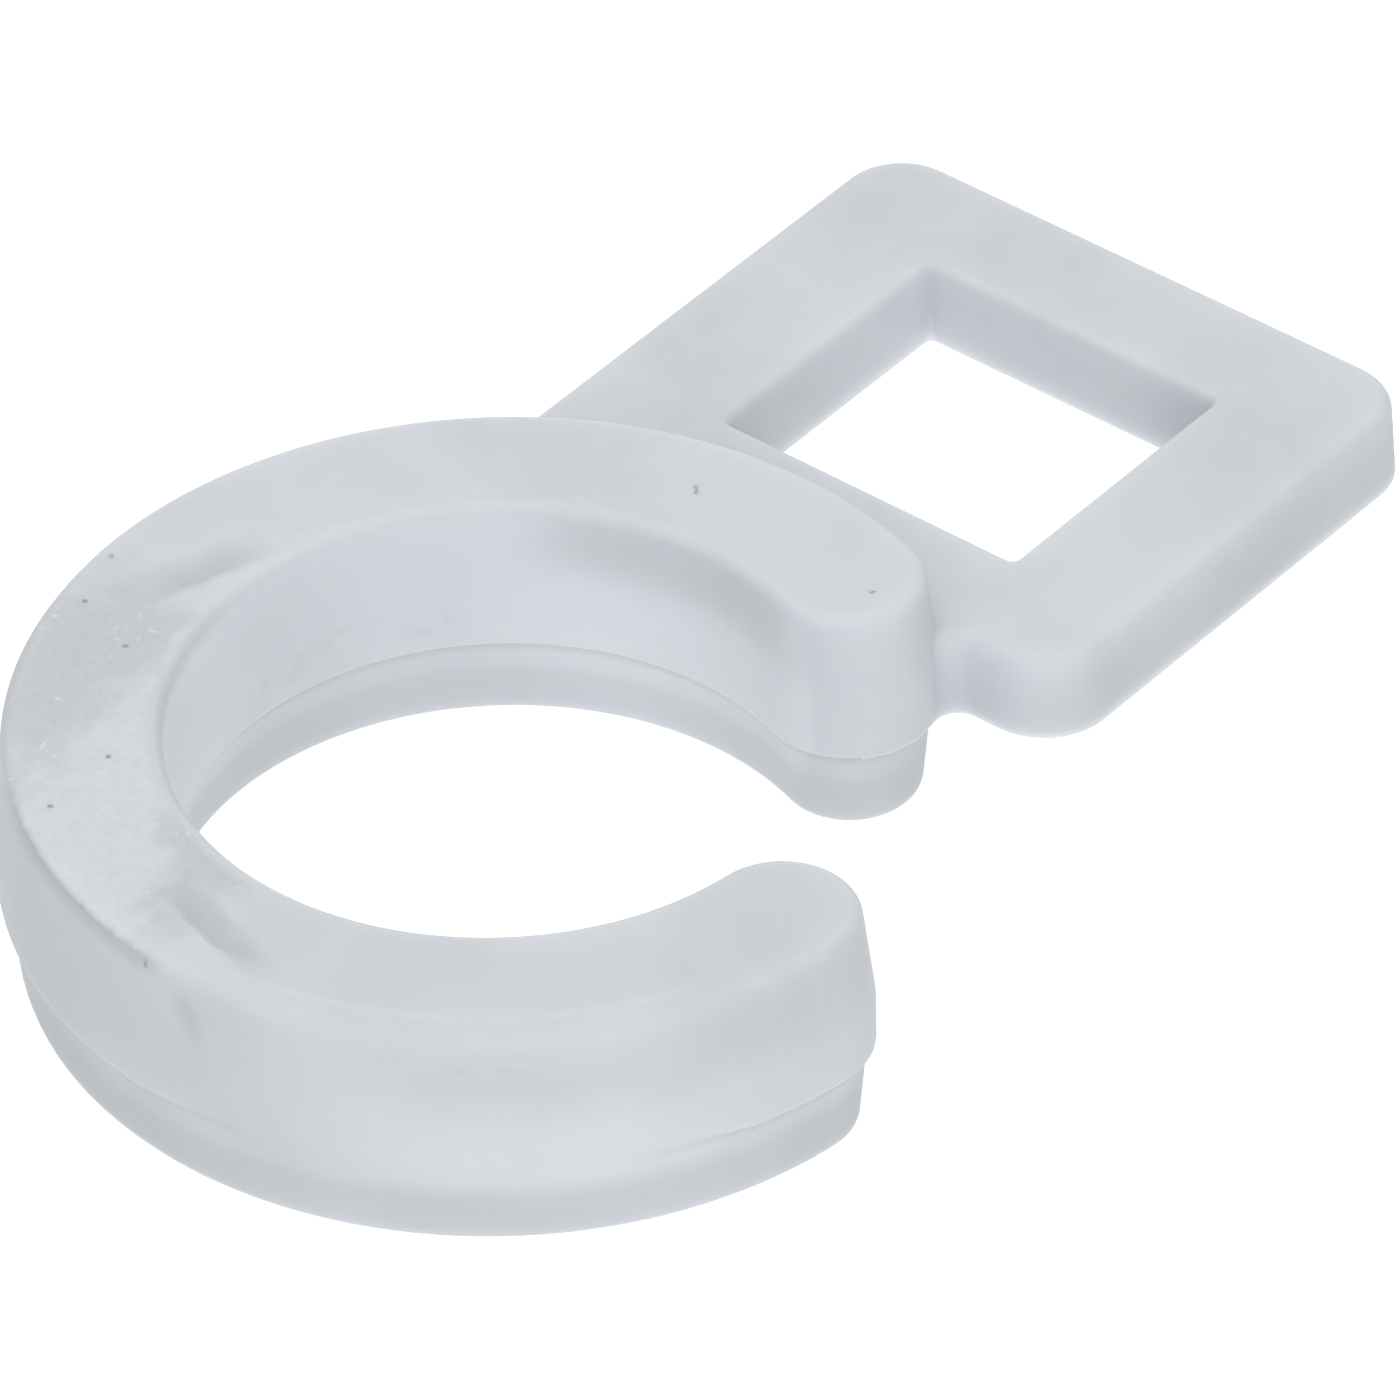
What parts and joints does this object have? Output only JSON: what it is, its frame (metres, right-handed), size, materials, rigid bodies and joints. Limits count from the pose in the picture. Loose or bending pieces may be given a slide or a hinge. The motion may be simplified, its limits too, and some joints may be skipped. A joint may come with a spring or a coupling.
{
  "type": "curtain ring",
  "caption": "Clip-on curtain ring: an open moulded ring that snaps over a rod, with a flat lug and a square eye for the curtain hook.",
  "frame": {"origin": "on the ring's axis at half its height", "axes": "+Z along the ring's axis, up as it lies flat; +X from the axis out along the lug"},
  "size_m": [0.0317, 0.0203, 0.0054],
  "materials": {
    "milky_plastic": "milky, slightly translucent, satin as moulded"
  },
  "bodies": {
    "root": {"curtain_ring": "milky_plastic"}
  },
  "joints": []
}
